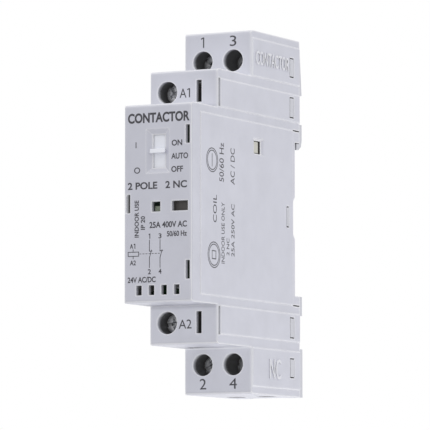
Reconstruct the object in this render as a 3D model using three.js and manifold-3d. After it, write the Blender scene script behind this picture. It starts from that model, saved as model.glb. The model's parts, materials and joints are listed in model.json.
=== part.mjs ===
// A one-module DIN rail contactor with a manual selector and two break contacts.
// Millimetres. While modelling, x runs across the module, y is the depth behind the front face and z is up.
// At the end the assembly is moved so that the origin is the middle of the face that sits on the rail.
import * as THREE from 'three';
import { ConvexGeometry } from 'three/addons/geometries/ConvexGeometry.js';
import { mergeVertices } from 'three/addons/utils/BufferGeometryUtils.js';
import Module from 'manifold-3d';

const wasm = await Module();
wasm.setup();

// ---------------------------------------------------------------------------
// Driving dimensions
// ---------------------------------------------------------------------------
const halfWidth = 8.75;          // one 17.5 mm module
const panelProud = 0.2;          // the side panels stand this far out of the side walls
const sideWall = 1.0;
const frontWall = 1.2;
const clearance = 0.15;          // between mouldings that fit into each other
const seatDepth = 50.95;         // rail seat, behind the front face

const frontTop = 22.5;           // half height of the front block
const coilFront = 12.15;         // face of the coil terminal step
const coilTop = 31.4;
const mainFront = 28.8;          // face of the main terminal step
const mainTop = 42.1;
const sideBack = 53.3;           // back edge of the side walls
const recessTop = 17.9;          // rail recess, upper wall
const recessBottom = -18.35;     // rail recess, lower wall
const baseBack = 54.8;           // rearmost face of the rear base

const innerX = halfWidth - sideWall;
const mainTerminal = { x: 3.97, z: 35.25 };
const coilTerminal = { x: -4.2, z: 26.4 };
const screwHole = 2.55;          // radius of the driver holes
const stroke = 2.5;              // travel of armature and contact carrier
const selectorStep = 2.8;        // travel of the selector between two positions

const selectorOpening = { halfX: 1.52, bottom: 8.0, top: 15.45 };
const selectorMiddle = 11.75;
const coilX = -1.0;              // the magnet sits off centre to leave room for the flag arm
const couplingWindow = { y0: 30.6, y1: 33.7, z0: 13.55, z1: 16.5 };
const couplingPocketX = 8.35;    // the wall is this thin round the window: from here to its outer face
const snapWindows = [
  { y0: 48.1, y1: 50.2, z0: 33.1, z1: 37.7 },
  { y0: 48.1, y1: 50.2, z0: 23.5, z1: 28.4 },
  { y0: 48.1, y1: 50.2, z0: -28.4, z1: -23.5 },
  { y0: 48.1, y1: 50.2, z0: -37.7, z1: -33.1 },
  { y0: 46.4, y1: 47.6, z0: -2.45, z1: 2.45 },
];

// ---------------------------------------------------------------------------
// Solids from three.js geometries
// ---------------------------------------------------------------------------
const axisX = new THREE.Vector3(1, 0, 0);
const axisY = new THREE.Vector3(0, 1, 0);
const axisZ = new THREE.Vector3(0, 0, 1);
const backwards = new THREE.Vector3(0, -1, 0);

function solidOf(geometry) {
  geometry.deleteAttribute('normal');
  geometry.deleteAttribute('uv');
  const merged = mergeVertices(geometry, 1e-4);
  return new wasm.Manifold(new wasm.Mesh({
    numProp: 3,
    vertProperties: new Float32Array(merged.attributes.position.array),
    triVerts: new Uint32Array(merged.index.array),
  }));
}

function geometryOf(solid) {
  const mesh = solid.getMesh();
  const geometry = new THREE.BufferGeometry();
  geometry.setAttribute('position', new THREE.BufferAttribute(mesh.vertProperties, 3));
  geometry.setIndex(new THREE.BufferAttribute(mesh.triVerts, 1));
  geometry.computeVertexNormals();
  return geometry;
}

function box(x0, x1, y0, y1, z0, z1) {
  const geometry = new THREE.BoxGeometry(Math.abs(x1 - x0), Math.abs(y1 - y0), Math.abs(z1 - z0));
  geometry.translate((x0 + x1) / 2, (y0 + y1) / 2, (z0 + z1) / 2);
  return solidOf(geometry);
}

function extrusion(points, length) {
  const shape = new THREE.Shape(points.map(([a, b]) => new THREE.Vector2(a, b)));
  return new THREE.ExtrudeGeometry(shape, { depth: length, bevelEnabled: false });
}

// points are (y, z) pairs
function prismAlongX(points, x0, x1) {
  const geometry = extrusion(points, x1 - x0);
  geometry.applyMatrix4(new THREE.Matrix4().makeBasis(axisY, axisZ, axisX));
  geometry.translate(x0, 0, 0);
  return solidOf(geometry);
}

// points are (x, z) pairs
function prismAlongY(points, y0, y1) {
  const geometry = extrusion(points, y1 - y0);
  geometry.applyMatrix4(new THREE.Matrix4().makeBasis(axisX, axisZ, backwards));
  geometry.translate(0, y1, 0);
  return solidOf(geometry);
}

// points are (x, y) pairs
function prismAlongZ(points, z0, z1) {
  const geometry = extrusion(points, z1 - z0);
  geometry.translate(0, 0, z0);
  return solidOf(geometry);
}

function cylinderAlongY(radius, y0, y1, x, z, sides = 20) {
  const geometry = new THREE.CylinderGeometry(radius, radius, y1 - y0, sides);
  geometry.translate(x, (y0 + y1) / 2, z);
  return solidOf(geometry);
}

function cylinderAlongX(radius, x0, x1, y, z, sides = 16) {
  const geometry = new THREE.CylinderGeometry(radius, radius, x1 - x0, sides);
  geometry.rotateZ(-Math.PI / 2);
  geometry.translate((x0 + x1) / 2, y, z);
  return solidOf(geometry);
}

function hullOf(corners) {
  return solidOf(new ConvexGeometry(corners.map(([x, y, z]) => new THREE.Vector3(x, y, z))));
}

// A funnel between a rectangle at depth y0 and one at depth y1, each given as [x0, x1, z0, z1].
function funnelAlongY(near, y0, far, y1) {
  const cornersOf = ([x0, x1, z0, z1], y) => [[x0, y, z0], [x1, y, z0], [x1, y, z1], [x0, y, z1]];
  return hullOf([...cornersOf(near, y0), ...cornersOf(far, y1)]);
}

function roundedRectangle(x0, x1, y0, y1, radius, arcSteps = 3) {
  const centres = [
    [x1 - radius, y1 - radius],
    [x0 + radius, y1 - radius],
    [x0 + radius, y0 + radius],
    [x1 - radius, y0 + radius],
  ];
  return centres.flatMap(([cx, cy], quarter) => Array.from({ length: arcSteps + 1 }, (_, i) => {
    const angle = (quarter + i / arcSteps) * Math.PI / 2;
    return [cx + radius * Math.cos(angle), cy + radius * Math.sin(angle)];
  }));
}

// The upper half of a (y, z) outline, front to back, with its mirror image below.
function mirroredOutline(upperHalf) {
  const lowerHalf = upperHalf.map(([y, z]) => [y, -z]).reverse();
  return [...lowerHalf, ...upperHalf];
}

class Helix extends THREE.Curve {
  constructor(radius, length, turns) {
    super();
    this.radius = radius;
    this.length = length;
    this.turns = turns;
  }

  getPoint(t) {
    const angle = 2 * Math.PI * this.turns * t;
    return new THREE.Vector3(
      this.radius * Math.cos(angle), this.radius * Math.sin(angle), this.length * t);
  }
}

function tubeAlong(path, radius, steps) {
  const section = new THREE.Shape(Array.from({ length: 6 }, (_, i) => {
    const angle = i * Math.PI / 3;
    return new THREE.Vector2(radius * Math.cos(angle), radius * Math.sin(angle));
  }));
  return new THREE.ExtrudeGeometry(section, { steps, extrudePath: path, bevelEnabled: false });
}

// A compression spring along +z from its own origin.
function coilSpring(radius, wire, length, turns) {
  const stepsPerTurn = 10;
  const path = new Helix(radius, length - 2 * wire, turns);
  const geometry = tubeAlong(path, wire, Math.round(turns * stepsPerTurn));
  geometry.translate(0, 0, wire);
  return solidOf(geometry);
}

// ---------------------------------------------------------------------------
// Materials
// ---------------------------------------------------------------------------
const plastic = (name, color, roughness) =>
  new THREE.MeshStandardMaterial({ name, color, roughness, metalness: 0 });
const metal = (name, color, roughness) =>
  new THREE.MeshStandardMaterial({ name, color, roughness, metalness: 1 });

const materials = {
  housing: plastic('housing_plastic', 0xc9cacf, 0.55),
  base: plastic('base_plastic', 0xb4b6bc, 0.6),
  selector: plastic('selector_plastic', 0xeff0f2, 0.45),
  dark: plastic('dark_plastic', 0x3a3b3e, 0.6),
  carrier: plastic('carrier_plastic', 0xc2c3c7, 0.5),
  bobbin: plastic('bobbin_plastic', 0x24262a, 0.5),
  board: plastic('board_laminate', 0x2f6b3c, 0.5),
  varistor: plastic('varistor_coating', 0x2456a4, 0.35),
  lens: plastic('lens_plastic', 0x9db49a, 0.2),
  led: plastic('led_epoxy', 0x8fbf6b, 0.25),
  steel: metal('zinc_steel', 0xb9bcc0, 0.35),
  spring: metal('spring_steel', 0x9c9fa4, 0.3),
  iron: metal('magnet_iron', 0x7c7f84, 0.45),
  copper: metal('enamelled_copper', 0xb5622f, 0.35),
  brass: metal('contact_brass', 0xc7a45c, 0.35),
  silver: metal('contact_silver', 0xdadbd9, 0.25),
};

// ---------------------------------------------------------------------------
// Housing
// ---------------------------------------------------------------------------
const mainTubeEnd = 38.2;        // depth where the tube around a main screw ends
const coilTubeEnd = 19.2;
const terminalX = [-mainTerminal.x, mainTerminal.x];
const halves = [1, -1];          // upper and lower half of the module

function housingShell() {
  const notchBottom = 49.56;
  const outline = [
    ...mirroredOutline([
      [0, frontTop], [coilFront, frontTop], [coilFront, coilTop],
      [mainFront, coilTop], [mainFront, mainTop], [sideBack, mainTop],
    ]),
    [sideBack, recessTop], [seatDepth, recessTop],
    [seatDepth, 5], [notchBottom, 3.2], [notchBottom, -3.2], [seatDepth, -5],
    [seatDepth, recessBottom], [sideBack, recessBottom],
  ];
  const openBack = sideBack + 5;
  const cavity = mirroredOutline([
    [frontWall, frontTop - frontWall], [coilFront + frontWall, frontTop - frontWall],
    [coilFront + frontWall, coilTop - frontWall], [mainFront + frontWall, coilTop - frontWall],
    [mainFront + frontWall, mainTop - frontWall], [openBack, mainTop - frontWall],
  ]);
  return prismAlongX(outline, -halfWidth, halfWidth).subtract(prismAlongX(cavity, -innerX, innerX));
}

// Raised panels on a side wall. The flat bands between them run to the back.
function sidePanels(side) {
  const root = side * (halfWidth - 0.3);
  const face = side * (halfWidth + panelProud);
  const panelBack = 49.8;
  const frontPanel = box(root, face, 4, panelBack, -20.65, 20.65);
  return halves.reduce((panels, half) => panels
    .add(box(root, face, 13.6, sideBack, half * 22.6, half * 29.2))
    .add(box(root, face, 29.3, sideBack, half * 31.4, half * 40.4)), frontPanel);
}

function housingRibs() {
  const wallX = innerX + 0.3;
  const ribs = [];
  for (const half of halves) {
    // floor between main terminal and coil terminal chambers, then the wall towards the magnet
    ribs.push(box(-wallX, wallX, mainFront + 0.5, 42.4, half * 30.3, half * 31.3));
    ribs.push(box(-wallX, wallX, coilFront + 0.5, 23.7, half * 21.4, half * 22.4));
    // wall between the two main terminals
    ribs.push(box(-0.4, 0.4, mainFront + 0.5, 49, half * 31, half * 41.2));
    // rib that locates the magnet, and the seat of a return spring
    ribs.push(box(-wallX, wallX, 10.4, 13, half * 14.6, half * 15.6));
    ribs.push(box(-2.6, wallX, 22.8, 24, half * 15.4, half * 19.4));
    // board posts
    ribs.push(cylinderAlongY(0.9, 0.8, 8.45, -6.2, half * 18.6, 12));
    ribs.push(cylinderAlongY(0.9, 0.8, 8.45, 4.6, half * 18.6, 12));
  }
  return ribs;
}

// Tubes that guide the driver to each screw, and the bores through them.
function screwGuides() {
  const guides = [];
  for (const half of halves) {
    for (const x of terminalX) guides.push({ x, z: half * mainTerminal.z, face: mainFront, end: mainTubeEnd });
    guides.push({ x: coilTerminal.x, z: half * coilTerminal.z, face: coilFront, end: coilTubeEnd });
  }
  const tubes = guides.map(({ x, z, face, end }) => cylinderAlongY(screwHole + 0.7, face + 0.4, end, x, z, 24));
  const bores = guides.map(({ x, z, face, end }) => cylinderAlongY(screwHole, face - 1, end + 1, x, z, 32));
  return { tubes, bores };
}

function frontOpenings() {
  const through = frontWall + 0.3;
  const { halfX, bottom, top } = selectorOpening;
  const funnelDepth = 0.8;
  const inner = [-halfX, halfX, bottom, top];
  const openings = [
    box(7.15, 8.18, -0.5, 5, 13.2, 17.4),
    box(7.15, 8.18, -0.5, 5, -17.4, -13.2),
    box(-8.18, -7.15, -0.5, 5, -2.1, 2.1),
    box(-1.54, 0.63, -0.5, through, -1.98, 0.27),
    box(3.6, 7.7, -0.5, through, -1.98, 0.27),
    // selector: bevelled funnel, opening, and a pocket behind the wall for the slider plate
    funnelAlongY([-3.05, 3.05, 6.7, 16.8], 0, inner, funnelDepth),
    box(-halfX, halfX, funnelDepth - 0.1, through, bottom, top),
    box(-3.2, 3.2, 0.9, through, 2.0, 21.3),
  ];
  for (const x of [-4.85, -1.61, 1.61, 4.85]) {
    openings.push(box(x - 0.7, x + 0.7, -0.5, through, -20.8, -18.6));
  }
  return openings;
}

function stepOpenings() {
  const openings = [];
  for (const half of halves) {
    openings.push(box(3.3, 4.65, coilFront - 1, coilFront + 3, half * 23.9, half * 28.95));
    // conductor entries of the coil terminal and of the two main terminals
    const coilEntry = roundedRectangle(coilTerminal.x - 1.8, coilTerminal.x + 1.8, 24.4, 27.8, 0.8);
    openings.push(prismAlongZ(coilEntry, ...[half * 30, half * 32].sort((a, b) => a - b)));
    for (const x of terminalX) {
      const entry = roundedRectangle(x - 2.2, x + 2.2, 43.3, 47.5, 1.1);
      openings.push(prismAlongZ(entry, ...[half * 40, half * 43].sort((a, b) => a - b)));
    }
  }
  return openings;
}

function sideOpenings() {
  const outside = halfWidth + panelProud + 0.3;
  const openings = [];
  for (const side of [1, -1]) {
    for (const { y0, y1, z0, z1 } of snapWindows) {
      openings.push(box(side * (innerX - 0.3), side * outside, y0, y1, z0, z1));
    }
    for (const half of halves) {
      // joint groove behind the coil step, and the slit at each end of the rail recess
      openings.push(box(side * 8.25, side * outside, 12.75, 13.55, half * 22.8, half * 29.3));
      openings.push(box(side * (innerX - 0.3), side * outside, 49.9, sideBack + 1, half * 20.5, half * 20.8));
    }
  }
  // window for the link to an add-on contact block, with bevelled edges, and the pocket behind it
  // in which the pad of the carrier slides
  const { y0, y1, z0, z1 } = couplingWindow;
  const bevelEnd = halfWidth - 0.3;
  const rim = halfWidth + panelProud;
  openings.push(box(innerX - 0.3, outside, y0, y1, z0, z1));
  openings.push(box(innerX - 0.3, couplingPocketX, 27.2, 36.2, z0 - 0.2, z1 + 0.2));
  openings.push(hullOf([
    [bevelEnd, y0, z0], [bevelEnd, y1, z0], [bevelEnd, y1, z1], [bevelEnd, y0, z1],
    [rim, 29.4, 13.2], [rim, 34.7, 13.2], [rim, 34.7, 17.1], [rim, 29.4, 17.1],
  ]));
  return openings;
}

function housing() {
  const { tubes, bores } = screwGuides();
  const filled = [sidePanels(1), sidePanels(-1), ...tubes, ...housingRibs()]
    .reduce((sum, piece) => sum.add(piece), housingShell());
  return [...bores, ...frontOpenings(), ...stepOpenings(), ...sideOpenings()]
    .reduce((rest, cut) => rest.subtract(cut), filled);
}

// ---------------------------------------------------------------------------
// Rear base and rail clip
// ---------------------------------------------------------------------------
const plateFront = 49.3;
const plugX = innerX - clearance;        // the base fits inside the side walls
const rimX = halfWidth - 0.15;
const channelFloor = 51.2;               // the clip slides in a channel behind this depth
const clipHalfX = 5.4;
const clipRaisedX = 4.4;
const clipTravel = 3.5;
const clipWindow = { halfX: 1.6, z0: -36, z1: -24 };
const springPost = { z0: -33, z1: -32 };

function baseProfile() {
  const plugTop = mainTop - frontWall - clearance;
  const reliefDepth = 50.5;
  return prismAlongX([
    [plateFront, plugTop], [plateFront, -plugTop], [sideBack + 0.5, -plugTop],
    [sideBack + 0.5, recessBottom], [reliefDepth, recessBottom], [reliefDepth, -15.9], [seatDepth, -15.7],
    [seatDepth, 15.7], [reliefDepth, 15.9], [reliefDepth, recessTop], [sideBack + 0.5, recessTop],
    [sideBack + 0.5, plugTop],
  ], -plugX, plugX);
}

// The parts of the base that lie behind the side walls: hook, foot and end strips.
function baseRims() {
  const seam = 0.05;
  const rimFront = sideBack + seam;
  const hook = [
    [rimFront, recessTop - 0.15], [52.1, recessTop - 0.15], [52.1, 16.3], [53.2, 16.3], [54.4, 17.2],
    [baseBack, 18.6], [baseBack, 22.4], [rimFront, 22.4],
  ];
  const upperWedge = [[rimFront, 29.3], [baseBack, 29.3], [53.6, mainTop], [rimFront, mainTop]];
  const foot = [[rimFront, -22.9], [baseBack, -22.9], [baseBack, recessBottom], [rimFront, recessBottom]];
  const lowerStrip = [[rimFront, -mainTop], [55, -mainTop], [55, -30.7], [rimFront, -30.7]];
  return [hook, upperWedge, foot, lowerStrip].map((outline) => prismAlongX(outline, -rimX, rimX));
}

// Tongues with noses that snap into the side windows of the housing, flush with the side panels.
function snapTongues() {
  const endGap = 0.25;
  const sideGap = 0.15;
  const noseFace = halfWidth + panelProud - 0.05;
  const pieces = [];
  for (const side of [1, -1]) {
    for (const { y0, y1, z0, z1 } of snapWindows) {
      pieces.push(box(side * 6.9, side * (innerX - 0.2), y0, plateFront + 0.5, z0 + endGap, z1 - endGap));
      pieces.push(box(side * 7.2, side * noseFace, y0 + sideGap, y1 - sideGap, z0 + endGap, z1 - endGap));
    }
  }
  return pieces;
}

function rearBase() {
  const deep = baseBack + 2;
  const pieces = [...baseRims(), ...snapTongues()];
  for (const half of halves) {
    // wall between the poles, and the posts behind the fixed contact bars
    pieces.push(box(-0.4, 0.4, 40.3, plateFront + 0.5, half * 5, half * 29));
    for (const x of terminalX) pieces.push(box(x - 1.6, x + 1.6, 45.9, plateFront + 0.5, half * 12, half * 16));
  }
  const cuts = [
    box(-clipHalfX - 0.2, clipHalfX + 0.2, channelFloor, 52.7, recessBottom + 1, -mainTop - 1),
    box(-clipRaisedX - 0.2, clipRaisedX + 0.2, channelFloor, deep, recessBottom + 1, -mainTop - 1),
  ];
  const post = box(-1.3, 1.3, channelFloor - 0.3, 53.2, springPost.z0, springPost.z1);
  const body = pieces.reduce((sum, piece) => sum.add(piece), baseProfile());
  return cuts.reduce((rest, cut) => rest.subtract(cut), body).add(post);
}

function railClip() {
  const plate = box(-clipHalfX, clipHalfX, channelFloor + 0.15, 52.55, -18.6, -37);
  const raised = box(-clipRaisedX, clipRaisedX, 52.4, 54.2, -18.2, -37);
  const tail = box(-clipRaisedX, clipRaisedX, 53.5, 54.7, -36, -41.6);
  const nose = prismAlongX([
    [52.15, -18.6], [54.2, -18.6], [54.2, -17.6], [53.2, -16.6], [52.15, -16.6],
  ], -clipRaisedX, clipRaisedX);
  const { halfX, z0, z1 } = clipWindow;
  return plate.add(raised).add(tail).add(nose)
    .subtract(box(-halfX, halfX, 50, 56, z0, z1))
    .subtract(box(-2, 2, 53, 56, -40.7, -39.4));
}

// ---------------------------------------------------------------------------
// Selector, status flag and electronics behind the front face
// ---------------------------------------------------------------------------
const platePocket = 1.05;        // front of the selector plate
const plateBack = 1.85;
const boardFront = 8.6;
const boardBack = 9.6;

function selectorSlider() {
  const z = selectorMiddle;
  const plate = box(-2.9, 2.9, platePocket, plateBack, 5.1, 18.35);
  const ledgeHalf = 0.48;
  const stem = box(-1.3, 1.3, 0.2, platePocket + 0.2, z - ledgeHalf, z + ledgeHalf);
  const ledge = box(-1.9, 1.9, -0.35, 0.22, z - ledgeHalf, z + ledgeHalf);
  const detentRail = box(-2.9, -2.1, plateBack - 0.2, 3.4, 5.1, 18.35);
  const camWing = box(2.5, 7.2, plateBack - 0.1, 2.85, z - 1.1, z + 1.1);
  const notches = [-1, 0, 1].map((step) => {
    const middle = z + step * selectorStep;
    return prismAlongY([[-3, middle - 0.8], [-2.3, middle], [-3, middle + 0.8]], 1.8, 3.6);
  });
  return notches.reduce((rest, notch) => rest.subtract(notch),
    plate.add(stem).add(ledge).add(detentRail).add(camWing));
}

// Leaf spring whose bump drops into the notches of the selector.
function selectorDetentSpring() {
  const z = selectorMiddle;
  const thickness = 0.25;
  const line = [[-4.6, z - 5], [-3.6, z - 2.4], [-3.6, z - 1.1], [-2.75, z], [-3.6, z + 1.1],
    [-3.6, z + 2.4], [-4.6, z + 5]];
  const behind = line.map(([x, height]) => [x - thickness, height]).reverse();
  return prismAlongY([...line, ...behind], 2.1, 3.2);
}

const flagPin = { y: 7.3, z: -1.6, radius: 0.5 };

function statusFlag() {
  return box(3.0, 7.55, 1.6, 2.4, -4.9, 0.9)
    .add(box(4.9, 5.9, 2.2, 8.1, -2.6, -0.6))
    .add(cylinderAlongX(flagPin.radius, 5.7, 7.1, flagPin.y, flagPin.z));
}

function circuitBoard() {
  const board = box(-7.5, 5.6, boardFront, boardBack, -20.6, 20.6);
  return board.subtract(box(-3.9, -3.1, 8, 10, -20.7, -19.9)).subtract(box(-3.9, -3.1, 8, 10, 19.9, 20.7));
}

function bridgeRectifier() {
  const back = boardFront - 0.05;
  const body = box(-3.2, 1.8, 5.9, back - 0.3, -11.6, -6.4);
  return [-2.7, 0.5].flatMap((x) => [-12.2, -6.4].map((z) => box(x, x + 0.8, 7, back, z, z + 0.6)))
    .reduce((sum, leg) => sum.add(leg), body);
}

function varistor() {
  const disc = cylinderAlongY(3.1, 5.9, 8.1, -3.6, 15.2, 24);
  return disc.add(box(-6, -5.4, 7.6, boardFront - 0.05, 14.9, 15.5))
    .add(box(-1.8, -1.2, 7.6, boardFront - 0.05, 14.9, 15.5));
}

const ledPlace = { x: -0.38, z: -1.3 };

function statusLed() {
  const dome = new THREE.SphereGeometry(1.25, 16, 10);
  dome.translate(ledPlace.x, 6.9, ledPlace.z);
  return cylinderAlongY(1.25, 6.9, boardFront - 0.05, ledPlace.x, ledPlace.z, 16).add(solidOf(dome))
    .add(cylinderAlongY(1.5, 8.0, boardFront - 0.05, ledPlace.x, ledPlace.z, 16));
}

function lightGuide() {
  const { x, z } = ledPlace;
  return funnelAlongY([x - 0.78, x + 0.78, z - 0.6, z + 0.6], 0.9,
    [x - 1.2, x + 1.2, z - 1.2, z + 1.2], 5.4);
}

// ---------------------------------------------------------------------------
// Magnet
// ---------------------------------------------------------------------------
const coreBack = 29.45;          // pole faces
const armatureFront = 32;        // at rest, so the air gap is a little over the stroke
const legTop = 14.2;
const coreHalfX = 3;

function fixedCore() {
  const outline = [
    [10.4, legTop], [10.4, -legTop], [coreBack, -legTop], [coreBack, -11.2], [13.2, -11.2], [13.2, -3],
    [coreBack, -3], [coreBack, 3], [13.2, 3], [13.2, 11.2], [coreBack, 11.2], [coreBack, legTop],
  ];
  return prismAlongX(outline, coilX - coreHalfX, coilX + coreHalfX);
}

function coilBobbin() {
  const flange = (y) => box(coilX - 6.2, coilX + 6.2, y, y + 0.9, -10.5, 10.5);
  return flange(13.4).add(flange(28.1))
    .add(box(coilX - 4.05, coilX + 4.05, 13.5, 28.9, -4.05, 4.05))
    .subtract(box(coilX - 3.15, coilX + 3.15, 12, 31, -3.15, 3.15));
}

function coilWinding() {
  const outline = roundedRectangle(coilX - 5.9, coilX + 5.9, -9.8, 9.8, 2.4);
  return prismAlongY(outline, 14.4, 28).subtract(box(coilX - 4.15, coilX + 4.15, 12, 31, -4.15, 4.15));
}

// A lead from the bobbin to the board, on the left of the magnet.
function coilLead(half) {
  const path = new THREE.CatmullRomCurve3([
    new THREE.Vector3(-6.6, 13.3, half * 7),
    new THREE.Vector3(-6.7, 12.3, half * 7.4),
    new THREE.Vector3(-6.4, 10.8, half * 8.6),
    new THREE.Vector3(-6.4, boardBack + 0.1, half * 8.8),
  ]);
  return solidOf(tubeAlong(path, 0.35, 10));
}

const armaturePin = { y: 35.75, radius: 0.6 };

function armature() {
  return box(coilX - 3, coilX + 3, armatureFront, 34.6, -legTop, legTop)
    .add(box(coilX - 3, coilX + 3, 34.4, 36.5, -2, 2))
    .subtract(cylinderAlongX(armaturePin.radius + 0.1, -9, 9, armaturePin.y, 0));
}

function armaturePinSolid() {
  return cylinderAlongX(armaturePin.radius, coilX - 4.4, coilX + 4.4, armaturePin.y, 0);
}

// ---------------------------------------------------------------------------
// Contact carrier and contacts
// ---------------------------------------------------------------------------
const bridgeFront = 42.45;
const bridgeBack = 43.25;
const tipBack = 43.85;
const tipZ = 6.7;                // distance of the contact tips from the middle
const stemWindow = { halfX: 1.65, halfZ: 3.1, y0: 37.2, y1: 43.35 };
const returnSpring = { x: 0.5, z: 17.4, seat: 24.05, carrier: 34.95 };

// Flag arm: a flat plate with a slanted slot that lifts the flag, a finger under the selector and
// the seat of the pad behind the window in the side wall.
function flagArm() {
  const outline = [
    [5.2, -3.2], [39.5, -3.2], [39.5, 18.6], [28.3, 18.6], [28.3, 11.2], [34.5, 11.2], [34.5, 2.8],
    [7.8, 2.8], [7.8, 13.2], [5.6, 13.2], [5.6, 2.8], [5.2, 2.8],
  ];
  const { y, z, radius } = flagPin;
  const slotRadius = radius + 0.2;
  const ends = [[y, z], [y + stroke, z + stroke]];
  const slot = ends.map(([endY, endZ]) => cylinderAlongX(slotRadius, 6, 8, endY, endZ))
    .reduce((sum, end) => sum.add(end));
  const side = slotRadius * Math.SQRT1_2;
  const slotMiddle = prismAlongX([
    [y - side, z + side], [y + side, z - side],
    [y + stroke + side, z + stroke - side], [y + stroke - side, z + stroke + side],
  ], 6, 8);
  return prismAlongX(outline, 6.3, 7.4).subtract(slot).subtract(slotMiddle);
}

function contactCarrier() {
  const { z0, z1 } = couplingWindow;
  const pad = box(7.2, couplingPocketX - 0.1, 30.2, 33.1, z0 + 0.15, z1 - 0.15);
  let body = box(-7.2, 7.3, 35, 39.5, -9, 9).add(flagArm()).add(pad);
  for (const half of halves) body = body.add(box(-2, 3, 35, 36.6, half * 8.8, half * 19.6));
  for (const x of terminalX) body = body.add(box(x - 2.45, x + 2.45, 39.3, 44.45, -3, 3));
  for (const x of terminalX) {
    const { halfX, halfZ, y0, y1 } = stemWindow;
    body = body.subtract(box(x - halfX, x + halfX, y0, y1, -halfZ, halfZ));
  }
  return body.subtract(box(coilX - 3.3, coilX + 3.3, 34, 36.7, -2.3, 2.3))
    .subtract(cylinderAlongX(armaturePin.radius + 0.1, coilX - 4.7, coilX + 4.7, armaturePin.y, 0));
}

// Contact pieces are modelled around their own pole, at x = 0.
function contactBridge() {
  return box(-1.4, 1.4, bridgeFront, bridgeBack, -8.3, 8.3);
}

function movingTip() {
  return cylinderAlongY(1.3, bridgeBack + 0.02, tipBack, 0, 0, 18);
}

function contactSpring() {
  return coilSpring(1.15, 0.2, bridgeFront - stemWindow.y0 - 0.1, 5);
}

// ---------------------------------------------------------------------------
// Terminals. Each piece is modelled around its screw axis at x = 0, z = 0, with the wire entering from +z.
// ---------------------------------------------------------------------------
const mainScrew = { headFront: 34.9, headBack: 36.5, headRadius: 2.2, shankRadius: 1.5, tip: 43.1 };
const coilScrew = { headFront: 15.7, headBack: 17.5, headRadius: 2.2, shankRadius: 1.3, tip: 23.9 };
const mainCage = { front: 40.8, topWall: 1, bottomInside: 47, back: 47.9, halfX: 2.7, halfZ: 2.5 };
const coilCage = { front: 21.4, topWall: 1, bottomInside: 27.2, back: 28, halfX: 2.3, halfZ: 2.2 };
const cageSheet = 0.7;
const backedOut = 1.5;           // screws 1 and 2 stand this much nearer the front than 3 and 4

function terminalScrew({ headFront, headBack, headRadius, shankRadius, tip }) {
  const profile = [
    [0, headFront], [headRadius - 0.25, headFront], [headRadius, headFront + 0.25],
    [headRadius, headBack], [shankRadius, headBack], [shankRadius, tip - 0.4],
    [shankRadius - 0.4, tip], [0, tip],
  ];
  const turned = solidOf(new THREE.LatheGeometry(profile.map(([r, y]) => new THREE.Vector2(r, y)), 24));
  return turned
    .subtract(box(-3, 3, headFront - 1, headFront + 1, -0.4, 0.4))
    .subtract(box(-0.4, 0.4, headFront - 1, headFront + 1, -1.3, 1.3));
}

function clampCage({ front, topWall, bottomInside, back, halfX, halfZ }, shankRadius) {
  return box(-halfX, halfX, front, back, -halfZ, halfZ)
    .subtract(box(cageSheet - halfX, halfX - cageSheet, front + topWall, bottomInside, -halfZ - 1, halfZ + 1))
    .subtract(cylinderAlongY(shankRadius + 0.1, front - 1, front + topWall + 1, 0, 0));
}

function fixedContactBar() {
  return prismAlongX([
    [43.2, 3], [43.2, -11], [44.5, -14], [44.5, -30.05],
    [45.6, -30.05], [45.6, -13.6], [44.3, -10.6], [44.3, 3],
  ], -1.8, 1.8);
}

function fixedTip() {
  return cylinderAlongY(1.4, tipBack + 0.05, 44.48, 0, tipZ - mainTerminal.z, 18);
}

function coilTerminalBar() {
  return prismAlongX([
    [24, 2], [24, -6.2], [boardBack + 0.2, -6.2], [boardBack + 0.2, -7.2], [25, -7.2], [25, 2],
  ], -1.35, 1.35);
}

// ---------------------------------------------------------------------------
// Assembly
// ---------------------------------------------------------------------------
const group = new THREE.Group();
group.name = 'din_rail_contactor';
const assembly = new THREE.Group();
assembly.position.y = -seatDepth;
group.add(assembly);

function place(name, solid, material, parent = assembly) {
  const mesh = new THREE.Mesh(geometryOf(solid), material);
  mesh.name = name;
  parent.add(mesh);
  return mesh;
}

place('housing', housing(), materials.housing);
place('rear_base', rearBase(), materials.base);
place('rail_clip', railClip(), materials.dark);
place('selector_slider', selectorSlider(), materials.selector);
place('selector_detent_spring', selectorDetentSpring(), materials.spring);
place('status_flag', statusFlag(), materials.dark);
place('light_guide', lightGuide(), materials.lens);
place('status_led', statusLed(), materials.led);
place('circuit_board', circuitBoard(), materials.board);
place('bridge_rectifier', bridgeRectifier(), materials.bobbin);
place('varistor', varistor(), materials.varistor);
place('fixed_core', fixedCore(), materials.iron);
place('coil_bobbin', coilBobbin(), materials.bobbin);
place('coil_winding', coilWinding(), materials.copper);
place('coil_lead_upper', coilLead(1), materials.copper);
place('coil_lead_lower', coilLead(-1), materials.copper);
place('armature', armature(), materials.iron);
place('armature_pin', armaturePinSolid(), materials.steel);
place('contact_carrier', contactCarrier(), materials.carrier);

// The clip spring stands between the post of the base and the upper edge of the clip's window.
const clipSpring = coilSpring(0.9, 0.18, clipWindow.z1 - springPost.z1 - 0.1, 8);
place('rail_clip_spring', clipSpring, materials.spring).position.set(0, 52.4, springPost.z1 + 0.05);

for (const [name, half] of [['upper', 1], ['lower', -1]]) {
  const { x, z, seat, carrier } = returnSpring;
  const spring = place(`return_spring_${name}`, coilSpring(1.3, 0.22, carrier - seat, 6), materials.spring);
  spring.rotation.x = -Math.PI / 2;
  spring.position.set(x, seat, half * z);
}

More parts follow.
